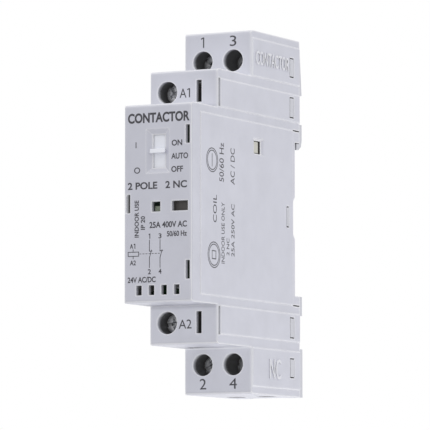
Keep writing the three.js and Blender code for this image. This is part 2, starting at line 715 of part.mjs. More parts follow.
for (const [name, x] of [['left', -mainTerminal.x], ['right', mainTerminal.x]]) {
  const pole = new THREE.Group();
  pole.position.x = x;
  assembly.add(pole);
  place(`contact_bridge_${name}`, contactBridge(), materials.brass, pole);
  place(`moving_tip_${name}_upper`, movingTip(), materials.silver, pole).position.z = tipZ;
  place(`moving_tip_${name}_lower`, movingTip(), materials.silver, pole).position.z = -tipZ;
  const spring = place(`contact_spring_${name}`, contactSpring(), materials.spring, pole);
  spring.rotation.x = -Math.PI / 2;
  spring.position.y = stemWindow.y0 + 0.05;
}

function terminalGroup(x, z) {
  const terminal = new THREE.Group();
  terminal.position.set(x, 0, z);
  if (z < 0) terminal.rotation.y = Math.PI;
  assembly.add(terminal);
  return terminal;
}

const mainTerminals = [
  ['1', -mainTerminal.x, mainTerminal.z],
  ['3', mainTerminal.x, mainTerminal.z],
  ['2', -mainTerminal.x, -mainTerminal.z],
  ['4', mainTerminal.x, -mainTerminal.z],
];
for (const [number, x, z] of mainTerminals) {
  const terminal = terminalGroup(x, z);
  const screw = place(`terminal_screw_${number}`, terminalScrew(mainScrew), materials.steel, terminal);
  if (x < 0) screw.position.y = -backedOut;
  place(`clamp_cage_${number}`, clampCage(mainCage, mainScrew.shankRadius), materials.steel, terminal);
  place(`fixed_contact_bar_${number}`, fixedContactBar(), materials.brass, terminal);
  place(`fixed_tip_${number}`, fixedTip(), materials.silver, terminal);
}

for (const [letter, half] of [['A1', 1], ['A2', -1]]) {
  const terminal = terminalGroup(coilTerminal.x, half * coilTerminal.z);
  place(`terminal_screw_${letter}`, terminalScrew(coilScrew), materials.steel, terminal);
  place(`clamp_cage_${letter}`, clampCage(coilCage, coilScrew.shankRadius), materials.steel, terminal);
  place(`coil_terminal_bar_${letter}`, coilTerminalBar(), materials.brass, terminal);
}

export default group;
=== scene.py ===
"""Looks of a one-module DIN rail contactor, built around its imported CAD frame.

Lengths are written in millimetres and turned into metres by MM. x runs across the module, depth is the
distance behind its front face and z is up.
"""

import json
import math

import bmesh
import bpy
from mathutils import Matrix, Vector

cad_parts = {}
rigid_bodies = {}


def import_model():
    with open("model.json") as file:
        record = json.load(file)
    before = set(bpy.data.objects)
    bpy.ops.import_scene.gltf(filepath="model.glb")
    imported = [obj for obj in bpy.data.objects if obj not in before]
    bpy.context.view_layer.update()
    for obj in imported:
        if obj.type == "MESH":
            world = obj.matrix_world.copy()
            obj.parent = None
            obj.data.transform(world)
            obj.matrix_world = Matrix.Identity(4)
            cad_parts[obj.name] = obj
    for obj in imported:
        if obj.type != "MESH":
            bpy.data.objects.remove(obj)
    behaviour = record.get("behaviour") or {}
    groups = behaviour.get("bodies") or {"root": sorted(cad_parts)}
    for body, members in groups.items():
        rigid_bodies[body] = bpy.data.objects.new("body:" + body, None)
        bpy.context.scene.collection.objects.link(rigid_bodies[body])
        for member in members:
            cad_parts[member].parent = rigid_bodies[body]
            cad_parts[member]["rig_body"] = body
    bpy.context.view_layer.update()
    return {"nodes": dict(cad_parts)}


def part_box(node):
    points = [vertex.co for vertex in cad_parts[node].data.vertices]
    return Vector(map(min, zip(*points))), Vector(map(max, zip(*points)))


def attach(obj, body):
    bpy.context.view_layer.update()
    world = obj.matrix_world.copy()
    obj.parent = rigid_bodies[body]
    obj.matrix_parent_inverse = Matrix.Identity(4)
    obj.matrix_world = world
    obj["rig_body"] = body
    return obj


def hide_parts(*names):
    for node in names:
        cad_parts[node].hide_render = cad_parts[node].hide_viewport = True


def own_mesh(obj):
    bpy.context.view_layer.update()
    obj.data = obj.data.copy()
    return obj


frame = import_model()

MM = 0.001
TURN = 2 * math.pi
scene = bpy.context.scene

# Faces of the housing
SEAT_DEPTH = 50.95        # the rail seat, which is the origin, lies this far behind the front face
HALF_WIDTH = 8.75
PANEL_FACE = 8.95         # the raised side panels, from the middle
TOLERANCE = 0.01 * MM     # within this a point counts as lying on a face
STEP_DEPTHS = {"front": 0, "coil": 12.15, "main": 28.8}
STEP_TOPS = {"front": 22.5, "coil": 31.4, "main": 42.1}


def place(x, depth, z):
    """A point of the module as a vector in metres."""
    return Vector((x, depth - SEAT_DEPTH, z)) * MM


def depth_of(y):
    """The depth behind the front face of a y coordinate in metres."""
    return y / MM + SEAT_DEPTH


def box_middle(low, high):
    """x and z of the middle of a box, in millimetres."""
    return (low.x + high.x) / 2 / MM, (low.z + high.z) / 2 / MM


def circle(count):
    """Evenly spaced angles round a full turn."""
    return [TURN * k / count for k in range(count)]


# ----------------------------------------------------------------------------
# Material nodes
# ----------------------------------------------------------------------------
WHITE = (1, 1, 1, 1)
BLACK = (0, 0, 0, 1)


def colour(red, green, blue):
    """An sRGB colour, each part from 0 to 255, as linear values with full opacity."""
    linear = []
    for part in (red, green, blue):
        value = part / 255
        linear.append(value / 12.92 if value < 0.04 else ((value + 0.055) / 1.055) ** 2.4)
    return (*linear, 1)


def add_node(tree, kind, inputs, **settings):
    """A shader node whose inputs are set to values or linked to other nodes' sockets."""
    made = tree.nodes.new("ShaderNode" + kind)
    for name, value in settings.items():
        setattr(made, name, value)
    for name, value in inputs.items():
        if isinstance(value, bpy.types.NodeSocket):
            tree.links.new(value, made.inputs[name])
        else:
            made.inputs[name].default_value = value
    return made


def math_node(tree, operation, *values):
    """The result of a maths node on sockets or numbers."""
    return add_node(tree, "Math", dict(enumerate(values)), operation=operation).outputs["Value"]


def noise(tree, vector, scale, detail=2):
    """Smooth noise from 0 to 1. The scale is in features per metre."""
    return add_node(tree, "TexNoise", {"Vector": vector, "Scale": scale, "Detail": detail}).outputs["Fac"]


def remap(tree, value, low, high, new_low, new_high):
    inputs = {"Value": value, "From Min": low, "From Max": high, "To Min": new_low, "To Max": new_high}
    return add_node(tree, "MapRange", inputs).outputs["Result"]


def mix_colour(tree, factor, first, second, blend="MIX"):
    made = add_node(tree, "MixRGB", {"Fac": factor, "Color1": first, "Color2": second}, blend_type=blend)
    return made.outputs["Color"]


def edge_mask(tree, radius):
    """Goes from 0 on flat faces towards 1 on sharp edges."""
    rounded = add_node(tree, "Bevel", {"Radius": radius}, samples=4).outputs["Normal"]
    true_normal = add_node(tree, "NewGeometry", {}).outputs["Normal"]
    dot = add_node(tree, "VectorMath", {0: rounded, 1: true_normal}, operation="DOT_PRODUCT")
    return remap(tree, dot.outputs["Value"], 1.0, 0.8, 0.0, 1.0)


def rounding_mask(tree):
    """1 on the rounded edges of a boxy part, where the surface faces none of the three main directions."""
    normal = add_node(tree, "NewGeometry", {}).outputs["Normal"]
    size = add_node(tree, "VectorMath", {0: normal}, operation="ABSOLUTE").outputs["Vector"]
    parts = add_node(tree, "SeparateXYZ", {"Vector": size}).outputs
    largest = math_node(tree, "MAXIMUM", math_node(tree, "MAXIMUM", parts["X"], parts["Y"]), parts["Z"])
    return remap(tree, largest, 0.87, 0.77, 0, 1)


def new_material(name):
    """A material with its node tree, its main shader and its position in the object's own space."""
    made = bpy.data.materials.new(name)
    made.use_nodes = True
    tree = made.node_tree
    shader = tree.nodes["Principled BSDF"]
    position = add_node(tree, "TexCoord", {}).outputs["Object"]
    return made, tree, shader, position


def connect(tree, shader, **inputs):
    """Sets or links the shader's inputs, named with _ in place of spaces."""
    for name, value in inputs.items():
        socket = shader.inputs[name.replace("_", " ")]
        if isinstance(value, bpy.types.NodeSocket):
            tree.links.new(value, socket)
        else:
            socket.default_value = value


def depth_behind_step(tree, position):
    """How far in metres a point lies behind the front face of the step it belongs to."""
    parts = add_node(tree, "SeparateXYZ", {"Vector": position}).outputs
    height = math_node(tree, "ABSOLUTE", parts["Z"])
    depth = math_node(tree, "ADD", parts["Y"], SEAT_DEPTH * MM)
    for inner, outer in (("front", "coil"), ("coil", "main")):
        rise = (STEP_DEPTHS[outer] - STEP_DEPTHS[inner]) * MM
        beyond = math_node(tree, "GREATER_THAN", height, STEP_TOPS[inner] * MM)
        depth = math_node(tree, "MULTIPLY_ADD", beyond, -rise, depth)
    return depth


def paint_opening_shade_and_glow(tree, shader, position, body, painted_opening_shade):
    """Paints shade into the body colour in the openings by that share, and paints light in as an emitted
    glow.

    The painted glow keeps the openings lighter near their mouths, most of all at the thin walls near the
    sides.
    A painted glow also lights the front faces of the steps beside the front block.
    """
    sky_reach = 25 * MM
    mouth = 1.8 * MM
    mouth_glow_middle, mouth_glow_side, deep_glow = 0.07, 0.4, 0.014
    step_glow_strength = 0.19
    open_sky = add_node(tree, "AmbientOcclusion", {"Distance": sky_reach}, samples=8).outputs["AO"]
    enclosed = remap(tree, open_sky, 0.3, 0.44, 1, 0)
    # painted highlight: the rounded edges are whitened by up to a third
    rounded = mix_colour(tree, remap(tree, rounding_mask(tree), 0, 1, 0, 0.35), body, WHITE)
    depth = depth_behind_step(tree, position)
    # painted shade: the body colour is darkened deep in the openings, where the sky is mostly hidden
    dark = remap(tree, depth, 0.1 * MM, 1.5 * MM, 0, painted_opening_shade)
    shaded = mix_colour(tree, math_node(tree, "MULTIPLY", dark, enclosed), rounded, BLACK)

    from_middle = add_node(tree, "VectorMath", {0: position}, operation="ABSOLUTE").outputs["Vector"]
    parts = add_node(tree, "SeparateXYZ", {"Vector": from_middle}).outputs
    # painted glow near the mouths of the openings, strongest at the thin walls near the sides, fading deeper
    # in
    at_mouth = remap(tree, parts["X"], 7.3 * MM, 8.1 * MM, mouth_glow_middle, mouth_glow_side)
    mouth_glow = remap(tree, depth, 0, mouth, at_mouth, deep_glow)
    # painted glow on the front faces of the steps beside the front block, stronger where the sky is hidden
    painted_step_glow = remap(tree, open_sky, 0.5, 1, step_glow_strength, 0)
    block_top = STEP_TOPS["front"]
    beside_front = remap(tree, parts["Z"], block_top * MM, (block_top + 1) * MM, 0, painted_step_glow)
    # the glow is painted light: a near-white emission, though the plastic is no lamp
    glow = remap(tree, enclosed, 0, 1, remap(tree, depth, 0, 2 * MM, beside_front, 0), mouth_glow)
    connect(tree, shader, Emission_Color=colour(247, 248, 250), Emission_Strength=glow)
    return shaded


def moulded_plastic(name, base, roughness=0.42, grain=0.05, painted_opening_shade=0.0, clear=0.0, highlight_width=0.1):
    """Spark-eroded moulding: fine grain, cloudy colour and a painted highlight that whitens the edges over
    the width given last, in millimetres.

    The argument after grain is the share of painted shade in the openings, which then also get a painted
    glow; 0 leaves them to the lights.
    """
    made, tree, shader, position = new_material(name)
    cloud = noise(tree, position, 180, 3)
    tint = remap(tree, cloud, 0.3, 0.7, 0.965, 1.03)
    toned = mix_colour(tree, 1, base, tint, "MULTIPLY")
    # painted highlight: the body colour is mixed towards white on the edges
    body = mix_colour(tree, remap(tree, edge_mask(tree, highlight_width * MM), 0, 0.8, 0, 0.7), toned, WHITE)
    # painted shade and painted glow in the openings, when a share is given
    if painted_opening_shade:
        body = paint_opening_shade_and_glow(tree, shader, position, body, painted_opening_shade)
    fine = noise(tree, position, 6500, 2)
    smear = noise(tree, position, 700, 4)
    height = mix_colour(tree, 0.4, fine, smear)
    bump = add_node(tree, "Bump", {"Height": height, "Strength": grain, "Distance": 0.05 * MM})
    rough = remap(tree, smear, 0.25, 0.75, roughness - 0.06, roughness + 0.06)
    connect(tree, shader, Base_Color=body, Roughness=rough, Normal=bump.outputs["Normal"],
            Transmission_Weight=clear)
    return made


def rolled_metal(name, base, roughness=0.3, stretch=(1, 1, 14), tarnish=0.25, metallic=1.0):
    """Bright metal with fine rolling marks, a cloudy tarnish and a painted highlight that whitens the edges.
    """
    made, tree, shader, position = new_material(name)
    scaled = add_node(tree, "Mapping", {"Vector": position, "Scale": stretch}).outputs["Vector"]
    marks = noise(tree, scaled, 1500, 3)
    cloud = noise(tree, position, 420, 4)
    dull = tuple(part * 0.62 for part in base[:3]) + (1,)
    toned = mix_colour(tree, remap(tree, cloud, 0.35, 0.75, 0, tarnish), base, dull)
    # painted highlight: the colour is mixed towards white on the edges
    bright = mix_colour(tree, remap(tree, edge_mask(tree, 0.08 * MM), 0, 1, 0, 0.5), toned, WHITE)
    bump = add_node(tree, "Bump", {"Height": marks, "Strength": 0.12, "Distance": 0.03 * MM})
    rough = remap(tree, marks, 0.25, 0.75, roughness - 0.08, roughness + 0.1)
    connect(tree, shader, Base_Color=bright, Metallic=metallic, Roughness=rough,
            Normal=bump.outputs["Normal"])
    return made


def laminated_iron(name):
    """A stack of punched sheets: dark joints every half millimetre across the module."""
    made, tree, shader, position = new_material(name)
    across = add_node(tree, "SeparateXYZ", {"Vector": position}).outputs["X"]
    sheets_per_metre = 2000
    half_sheet = 0.42         # as a share of the spacing
    phase = math_node(tree, "FRACT", math_node(tree, "MULTIPLY", across, sheets_per_metre))
    in_sheet = math_node(tree, "COMPARE", phase, 0.5, half_sheet)
    grain = noise(tree, position, 2600, 3)
    pale = mix_colour(tree, grain, colour(120, 122, 126), colour(158, 160, 164))
    body = mix_colour(tree, in_sheet, colour(52, 50, 50), pale)
    height = mix_colour(tree, 0.25, in_sheet, grain)
    bump = add_node(tree, "Bump", {"Height": height, "Strength": 0.5, "Distance": 0.03 * MM})
    connect(tree, shader, Base_Color=body, Metallic=1.0, Roughness=remap(tree, grain, 0.3, 0.7, 0.35, 0.5),
            Normal=bump.outputs["Normal"])
    return made


def board_laminate(name):
    """Green solder resist over copper tracks, which show as paler lines."""
    made, tree, shader, position = new_material(name)
    rows = add_node(tree, "Mapping", {"Vector": position, "Rotation": (math.pi / 2, 0, 0)}).outputs["Vector"]
    bricks = add_node(tree, "TexBrick", {"Vector": rows, "Scale": 260.0, "Mortar Size": 0.035,
                                         "Brick Width": 0.9, "Row Height": 0.42})
    tracks = bricks.outputs["Fac"]
    cloud = noise(tree, position, 500, 3)
    resist = mix_colour(tree, cloud, colour(22, 62, 38), colour(30, 78, 46))
    body = mix_colour(tree, tracks, resist, colour(56, 110, 68))
    bump = add_node(tree, "Bump", {"Height": tracks, "Strength": 0.3, "Distance": 0.04 * MM})
    connect(tree, shader, Base_Color=body, Roughness=remap(tree, cloud, 0.3, 0.7, 0.25, 0.4),
            Normal=bump.outputs["Normal"])
    return made


def printed_ink(name, base):
    """Laser or pad print: matt, slightly uneven in strength."""
    made, tree, shader, position = new_material(name)
    patchy = noise(tree, position, 4200, 3)
    body = mix_colour(tree, remap(tree, patchy, 0.3, 0.7, 0, 0.25), base, colour(116, 116, 122))
    bump = add_node(tree, "Bump", {"Height": patchy, "Strength": 0.1, "Distance": 0.02 * MM})
    connect(tree, shader, Base_Color=body, Roughness=remap(tree, patchy, 0.3, 0.7, 0.55, 0.75),
            Normal=bump.outputs["Normal"])
    return made


materials = {
    "housing": moulded_plastic("housing_plastic", colour(201, 202, 213), painted_opening_shade=0.95, highlight_width=0.6),
    "base": moulded_plastic("base_plastic", colour(199, 200, 208), roughness=0.48, painted_opening_shade=0.5),
    "selector": moulded_plastic("selector_plastic", colour(239, 241, 249), roughness=0.35, grain=0.03),
    "dark": moulded_plastic("dark_plastic", colour(80, 76, 74), roughness=0.5),
    "carrier": moulded_plastic("carrier_plastic", colour(204, 203, 194), roughness=0.5),
    "bobbin": moulded_plastic("bobbin_plastic", colour(38, 40, 44), roughness=0.45),
    "board": board_laminate("board_laminate"),
    "varistor": moulded_plastic("varistor_coating", colour(38, 84, 160), roughness=0.3, grain=0.12),
    "lens": moulded_plastic("lens_plastic", colour(150, 160, 140), roughness=0.2, grain=0.02, clear=0.4),
    "led": moulded_plastic("led_epoxy", colour(120, 150, 96), roughness=0.15, grain=0.02, clear=0.5),
    "steel": rolled_metal("zinc_steel", colour(226, 227, 230), roughness=0.45, tarnish=0.3, metallic=0.7),
    "spring": rolled_metal("spring_steel", colour(180, 182, 186), roughness=0.25, stretch=(1, 1, 1)),
    "iron": laminated_iron("magnet_iron"),
    "copper": rolled_metal("enamelled_copper", colour(190, 104, 52), stretch=(1, 20, 1), tarnish=0.4),
    "brass": rolled_metal("contact_brass", colour(206, 176, 104), stretch=(1, 1, 12), tarnish=0.35),
    "silver": rolled_metal("contact_silver", colour(222, 222, 220), roughness=0.22, stretch=(1, 1, 1)),
    "ink": printed_ink("grey_print", colour(58, 57, 63)),
}


# ----------------------------------------------------------------------------
# Mesh tools
# ----------------------------------------------------------------------------
def link_object(name, data):
    made = bpy.data.objects.new(name, data)
    scene.collection.objects.link(made)
    return made


def mesh_piece(name, bm, sharp_angle=32):
    """Turns a bmesh into an object, smooth except across edges sharper than the angle in degrees."""
    mesh = bpy.data.meshes.new(name)
    bmesh.ops.recalc_face_normals(bm, faces=bm.faces)
    bm.to_mesh(mesh)
    bm.free()
    for polygon in mesh.polygons:
        polygon.use_smooth = True
    mesh.set_sharp_from_angle(angle=math.radians(sharp_angle))
    return link_object(name, mesh)


def block(bm, x0, x1, depth0, depth1, z0, z1):
    """Adds a box to a bmesh."""
    low, high = place(x0, depth0, z0), place(x1, depth1, z1)
    matrix = Matrix.Translation((low + high) / 2) @ Matrix.Diagonal((*(high - low), 1))
    bmesh.ops.create_cube(bm, size=1, matrix=matrix)


def skin(bm, rings):
    """Joins each ring of vertices to the next one."""
    for near, far in zip(rings, rings[1:]):
        for k in range(len(near)):
            bm.faces.new((near[k - 1], near[k], far[k], far[k - 1]))


def lathe(bm, profile, x, z, sides=40, ripple=None):
    """Turns (radius, depth) pairs round an axis along the depth. ripple(depth, angle) adds to the radius."""
    rings = []
    for radius, depth in profile:
        if radius == 0:
            rings.append([bm.verts.new(place(x, depth, z))])
            continue
        ring = []
        for angle in circle(sides):
            reach = radius + (ripple(depth, angle) if ripple else 0)
            ring.append(bm.verts.new(place(x + reach * math.cos(angle), depth, z + reach * math.sin(angle))))
        rings.append(ring)
    for near, far in zip(rings, rings[1:]):
        for k in range(sides):
            corners = [near[k % len(near)], near[(k + 1) % len(near)]]
            corners += [far[(k + 1) % len(far)], far[k % len(far)]]
            bm.faces.new(list(dict.fromkeys(corners)))


def sweep(bm, path, radius, sides=10):
    """Runs a round wire along a list of points in metres and closes its ends."""
    last = len(path) - 1
    normal = (path[1] - path[0]).orthogonal().normalized()
    rings = []
    for i, middle in enumerate(path):
        tangent = (path[min(i + 1, last)] - path[max(i - 1, 0)]).normalized()
        normal = (normal - tangent * normal.dot(tangent)).normalized()
        binormal = tangent.cross(normal)
        offsets = [(normal * math.cos(a) + binormal * math.sin(a)) * radius for a in circle(sides)]
        rings.append([bm.verts.new(middle + offset) for offset in offsets])
    skin(bm, rings)
    bm.faces.new(rings[0])
    bm.faces.new(rings[-1])


def cut(piece, cutter):
    """Takes the cutter's shape out of the piece for good."""
    modifier = piece.modifiers.new("cut", "BOOLEAN")
    modifier.operation = "DIFFERENCE"
    modifier.solver = "EXACT"
    modifier.object = cutter
    graph = bpy.context.evaluated_depsgraph_get()
    piece.data = bpy.data.meshes.new_from_object(piece.evaluated_get(graph))
    piece.modifiers.clear()
    bpy.data.objects.remove(cutter)


def soften(piece, width, segments=2, clamp=False):
    """Small radius in millimetres on every sharp edge. clamp keeps it inside the narrowest faces."""
    bevel = piece.modifiers.new("edge_radius", "BEVEL")
    bevel.width = width * MM
    bevel.segments = segments
    bevel.limit_method = "ANGLE"
    bevel.angle_limit = math.radians(35)
    bevel.use_clamp_overlap = clamp
    bevel.harden_normals = True


def weigh_normals(piece):
    """Keeps large flat faces flat where they meet small rounded ones."""
    weigh = piece.modifiers.new("flat_faces", "WEIGHTED_NORMAL")
    weigh.keep_sharp = True


def weld(bm):
    bmesh.ops.remove_doubles(bm, verts=bm.verts, dist=0.001 * MM)


def join_flats(bm):
    """Joins the triangles of each flat face."""
    weld(bm)
    bmesh.ops.dissolve_limit(bm, angle_limit=math.radians(1), verts=bm.verts, edges=bm.edges)


def cad_copy(node, flatten=True):
    """The node's own shape, by default with its flat faces joined up again."""
    bm = bmesh.new()
    bm.from_mesh(frame["nodes"][node].data)
    weld(bm)
    if flatten:
        join_flats(bm)
    return bm


def stand_in(piece, node, slot):
    """The piece takes the place of the CAD node and moves with the same body."""
    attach(piece, frame["nodes"][node]["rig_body"])
    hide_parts(node)
    piece.data.materials.clear()
    piece.data.materials.append(materials[slot])


def refined(node, slot, width, segments=2, clamp=False):
    """The node's own shape with softened edges."""
    piece = mesh_piece(node + "_finished", cad_copy(node))
    soften(piece, width, segments, clamp)
    stand_in(piece, node, slot)


# ----------------------------------------------------------------------------
# Housing
# ----------------------------------------------------------------------------
def add_corner_cutter(bm, corner, start, end, radius):
    """Adds what a rounded corner loses. corner(out, forward, along) places a point from the sharp edge."""
    over = 0.3
    steps = 5
    outline = [(-radius, over), (over, over), (over, -radius)]
    for i in range(steps + 1):
        angle = TURN / 4 * i / steps
        outline.append((radius * (math.cos(angle) - 1), radius * (math.sin(angle) - 1)))
    rings = []
    for along in (start, end):
        rings.append([bm.verts.new(corner(out, forward, along)) for out, forward in outline])
    skin(bm, rings)
    for ring in rings:
        bm.faces.new(ring)


def upright_corner_cutter(radii):
    """For the tall corners beside each step, with a radius for each step."""
    beyond = 0.5
    bm = bmesh.new()
    below = 0
    for step, depth in STEP_DEPTHS.items():
        top = STEP_TOPS[step]
        for side in (1, -1):
            def corner(out, forward, z):
                return place(side * (HALF_WIDTH + out), depth - forward, z)

            if step == "front":
                add_corner_cutter(bm, corner, -top - beyond, top + beyond, radii[step])
            else:
                for half in (1, -1):
                    add_corner_cutter(bm, corner, half * below, half * (top + beyond), radii[step])
        below = top
    return mesh_piece("cutter", bm)


def level_corner_cutter(radius):
    """For the edges along the top and the bottom of each step."""
    end = HALF_WIDTH + 1
    bm = bmesh.new()
    for step, depth in STEP_DEPTHS.items():
        for half in (1, -1):
            def corner(out, forward, x):
                return place(x, depth - forward, half * (STEP_TOPS[step] + out))

            add_corner_cutter(bm, corner, -end, end, radius)
    return mesh_piece("cutter", bm)


def outward_edges(bm, belongs):
    """Sharp outward edges whose both ends pass the test."""
    found = []
    for edge in bm.edges:
        sharp = edge.is_convex and edge.calc_face_angle(0) > math.radians(35)
        if sharp and all(belongs(vertex.co) for vertex in edge.verts):
            found.append(edge)
    return found


def on_step_face(point):
    """True on the front faces of the steps, where the screw holes and windows open."""
    levels = [place(0, depth, 0).y for depth in STEP_DEPTHS.values()]
    return any(abs(point.y - level) < TOLERANCE for level in levels)


def on_panel_outline(point):
    """True on the raised side panels."""
    return abs(abs(point.x) - PANEL_FACE * MM) < TOLERANCE


def round_edges(bm, edges, radius):
    """Rounds the edges by a radius in millimetres."""
    bmesh.ops.bevel(bm, geom=edges, offset=radius * MM, offset_type="OFFSET", segments=2, profile=0.5,
                    affect="EDGES", clamp_overlap=False)


def make_housing():
    """The moulding with rounded corners, and finer radii on its rims and raised panels."""
    upright_radii = {"front": 0.6, "coil": 0.45, "main": 0.45}
    level_radius = 0.9
    rim_radius = 0.1
    panel_radius = 0.18
    piece = mesh_piece("housing_moulding", cad_copy("housing", flatten=False))
    cut(piece, upright_corner_cutter(upright_radii))
    cut(piece, level_corner_cutter(level_radius))
    bm = bmesh.new()
    bm.from_mesh(piece.data)
    join_flats(bm)
    round_edges(bm, outward_edges(bm, on_step_face), rim_radius)
    round_edges(bm, outward_edges(bm, on_panel_outline), panel_radius)
    bpy.data.objects.remove(piece)
    piece = mesh_piece("housing_moulding", bm, sharp_angle=17)
    weigh_normals(piece)
    stand_in(piece, "housing", "housing")


# ----------------------------------------------------------------------------
# Springs and wires
# ----------------------------------------------------------------------------
def spring_path(start, axis, radius, wire, length, turns):
    """A compression spring with its end turns closed, as points in metres."""
    side = axis.orthogonal().normalized()
    other = axis.cross(side)
    steps = 24
    closed_turns = 1
    closed_height = 2.1 * wire
    rise = length - 2 * wire
    path = []
    for i in range(turns * steps + 1):
        turn = i / steps
        if turn < closed_turns:
            height = turn * closed_height
        elif turn > turns - closed_turns:
            height = rise - (turns - turn) * closed_height
        else:
            share = (turn - closed_turns) / (turns - 2 * closed_turns)
            height = closed_height + share * (rise - 2 * closed_height)
        angle = TURN * turn
        round_axis = side * math.cos(angle) + other * math.sin(angle)
        path.append(start + (round_axis * radius + axis * (wire + height)) * MM)
    return path


def make_spring(node, axis, wire, turns):
    """A spring in the space of its CAD node."""
    low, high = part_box(node)
    size = (high - low) / MM
    length = size.dot(axis)
    outer = min(size)
    middle = (low + high) / 2
    start = middle - axis * length / 2 * MM
    bm = bmesh.new()
    sweep(bm, spring_path(start, axis, outer / 2 - wire, wire, length, turns), wire * MM)
    piece = mesh_piece(node + "_coil", bm, sharp_angle=60)
    stand_in(piece, node, "spring")
    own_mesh(piece)


def make_springs():
    backwards = Vector((0, 1, 0))
    upwards = Vector((0, 0, 1))
    for half in ("upper", "lower"):
        make_spring(f"return_spring_{half}", backwards, 0.22, 8)
    for side in ("left", "right"):
        make_spring(f"contact_spring_{side}", backwards, 0.2, 7)
    make_spring("rail_clip_spring", upwards, 0.18, 10)
    refined("selector_detent_spring", "spring", 0.04)


def make_coil_leads():
    """Enamelled leads from the bobbin to the board."""
    stations = [(-6.6, 13.3, 7), (-6.7, 12.6, 7.2), (-6.66, 11.9, 7.7), (-6.5, 11.1, 8.4), (-6.4, 10.3, 8.75),
                (-6.4, 9.7, 8.8)]
    wire = 0.33
    for name, half in (("upper", 1), ("lower", -1)):
        bm = bmesh.new()
        sweep(bm, [place(x, depth, half * z) for x, depth, z in stations], wire * MM, 12)
        piece = mesh_piece(f"coil_lead_{name}_wire", bm, sharp_angle=60)
        subdivide = piece.modifiers.new("smooth_bends", "SUBSURF")
        subdivide.render_levels = subdivide.levels = 1
        stand_in(piece, f"coil_lead_{name}", "copper")


def make_winding():
    """The coil's outer layer, one ridge for each turn of wire, between the bobbin's flanges."""
    turns = 34
    steps_per_turn = 6
    sides = 32
    ridge = 0.14
    corner = 2.4
    inner_half = 4.15
    inner_corner = 0.3
    low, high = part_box("coil_winding")
    middle = (low + high) / 2
    half_x = (high.x - low.x) / 2 / MM
    half_z = (high.z - low.z) / 2 / MM
    length = (high.y - low.y) / MM
    bm = bmesh.new()

    def outline(half_a, half_b, radius, depth, swell):
        ring = []
        for start in circle(sides):
            angle = start + TURN / sides / 2
            a, b = math.cos(angle), math.sin(angle)
            x = math.copysign(half_a - radius, a) + (radius + swell) * a
            z = math.copysign(half_b - radius, b) + (radius + swell) * b
            ring.append(bm.verts.new(Vector((middle.x + x * MM, low.y + depth * MM, middle.z + z * MM))))
        return ring

    rings = []
    total = turns * steps_per_turn
    for i in range(total + 1):
        swell = ridge * (abs(math.sin(math.pi * i / steps_per_turn)) - 1)
        rings.append(outline(half_x, half_z, corner, length * i / total, swell))
    for depth in (length, 0):
        rings.append(outline(inner_half, inner_half, inner_corner, depth, 0))
    rings.append(rings[0])
    skin(bm, rings)
    piece = mesh_piece("coil_winding_turns", bm, sharp_angle=50)
    stand_in(piece, "coil_winding", "copper")


# ----------------------------------------------------------------------------
# Turned and domed parts
# ----------------------------------------------------------------------------
def screw_profile(head_front, head_back, head_radius, shank_radius, tip, thread_step):
    """Profile of a terminal screw from its crowned head to its tip, finely stepped along the thread."""
    crown = [(head_radius, 0), (head_radius * 0.4, 0.02), (0.3, 0.08), (0.1, 0.2), (0, 0.4)]
    profile = [(head_radius - inset, head_front + behind) for inset, behind in crown]
    profile += [(head_radius, head_back - 0.12), (head_radius - 0.1, head_back), (shank_radius, head_back)]
    point = 0.4
    count = int((tip - point - head_back) / thread_step)
    for i in range(1, count + 1):
        profile.append((shank_radius, head_back + i * thread_step))
    profile.append((shank_radius - point, tip))
    profile.append((0, tip))
    return profile


def make_screws():
    """Combination-drive terminal screws: a slot crossed by a shorter one, and a real thread on the shank."""
    kinds = {
        "main": {"names": "1234", "head": 1.6, "shank": 1.5, "length": 8.2, "pitch": 0.6},
        "coil": {"names": ("A1", "A2"), "head": 1.8, "shank": 1.3, "length": 8.2, "pitch": 0.5},
    }
    head_radius = 2.2
    thread_depth = 0.16
    steps_per_turn = 6
    # half length, half width and depth of the long slot, the short one across it and the well in the middle
    recesses = ((3, 0.4, 1), (0.4, 1.35, 1), (0.95, 0.4, 1.3))
    turned = {"1": 34, "2": -25, "3": 70, "4": 12, "A1": 62, "A2": -8}
    for kind in kinds.values():
        for name in kind["names"]:
            node = f"terminal_screw_{name}"
            low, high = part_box(node)
            x, z = box_middle(low, high)
            front = depth_of(low.y)
            shank_start = front + kind["head"]
            tip = front + kind["length"]
            pitch = kind["pitch"]

            def thread(depth, angle):
                if depth <= shank_start or depth >= tip - 0.2:
                    return 0
                phase = (depth / pitch - angle / TURN) % 1
                return -thread_depth * abs(2 * phase - 1)

            bm = bmesh.new()
            step = pitch / steps_per_turn
            profile = screw_profile(front, shank_start, head_radius, kind["shank"], tip, step)
            lathe(bm, profile, x, z, 48, thread)
            piece = mesh_piece(node + "_threaded", bm, sharp_angle=40)
            turn = Matrix.Rotation(math.radians(turned[name]), 3, "Y")
            for half_a, half_b, floor in recesses:
                cutter = bmesh.new()
                block(cutter, x - half_a, x + half_a, front - 1, front + floor, z - half_b, z + half_b)
                bmesh.ops.rotate(cutter, cent=place(x, front, z), matrix=turn, verts=cutter.verts)
                cut(piece, mesh_piece("cutter", cutter))
            soften(piece, 0.05, 1)
            stand_in(piece, node, "steel")


def make_contact_tips():
    """Riveted silver tips with crowned faces. The moving ones face backwards and the fixed ones forwards."""
    tips = [(f"moving_tip_{side}_{half}", 1) for side in ("left", "right") for half in ("upper", "lower")]
    tips += [(f"fixed_tip_{number}", -1) for number in "1234"]
    # shares of the radius and of the thickness, from the seat to the middle of the crown
    shares = [(0, 0), (1, 0), (1, 0.45), (0.96, 0.62), (0.85, 0.78), (0.6, 0.93), (0.3, 0.99), (0, 1)]
    for node, facing in tips:
        low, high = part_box(node)
        radius = (high.z - low.z) / 2 / MM
        thick = (high.y - low.y) / MM
        base = depth_of(low.y if facing > 0 else high.y)
        bm = bmesh.new()
        lathe(bm, [(radius * out, base + facing * thick * up) for out, up in shares], *box_middle(low, high))
        stand_in(mesh_piece(node + "_crowned", bm, sharp_angle=50), node, "silver")


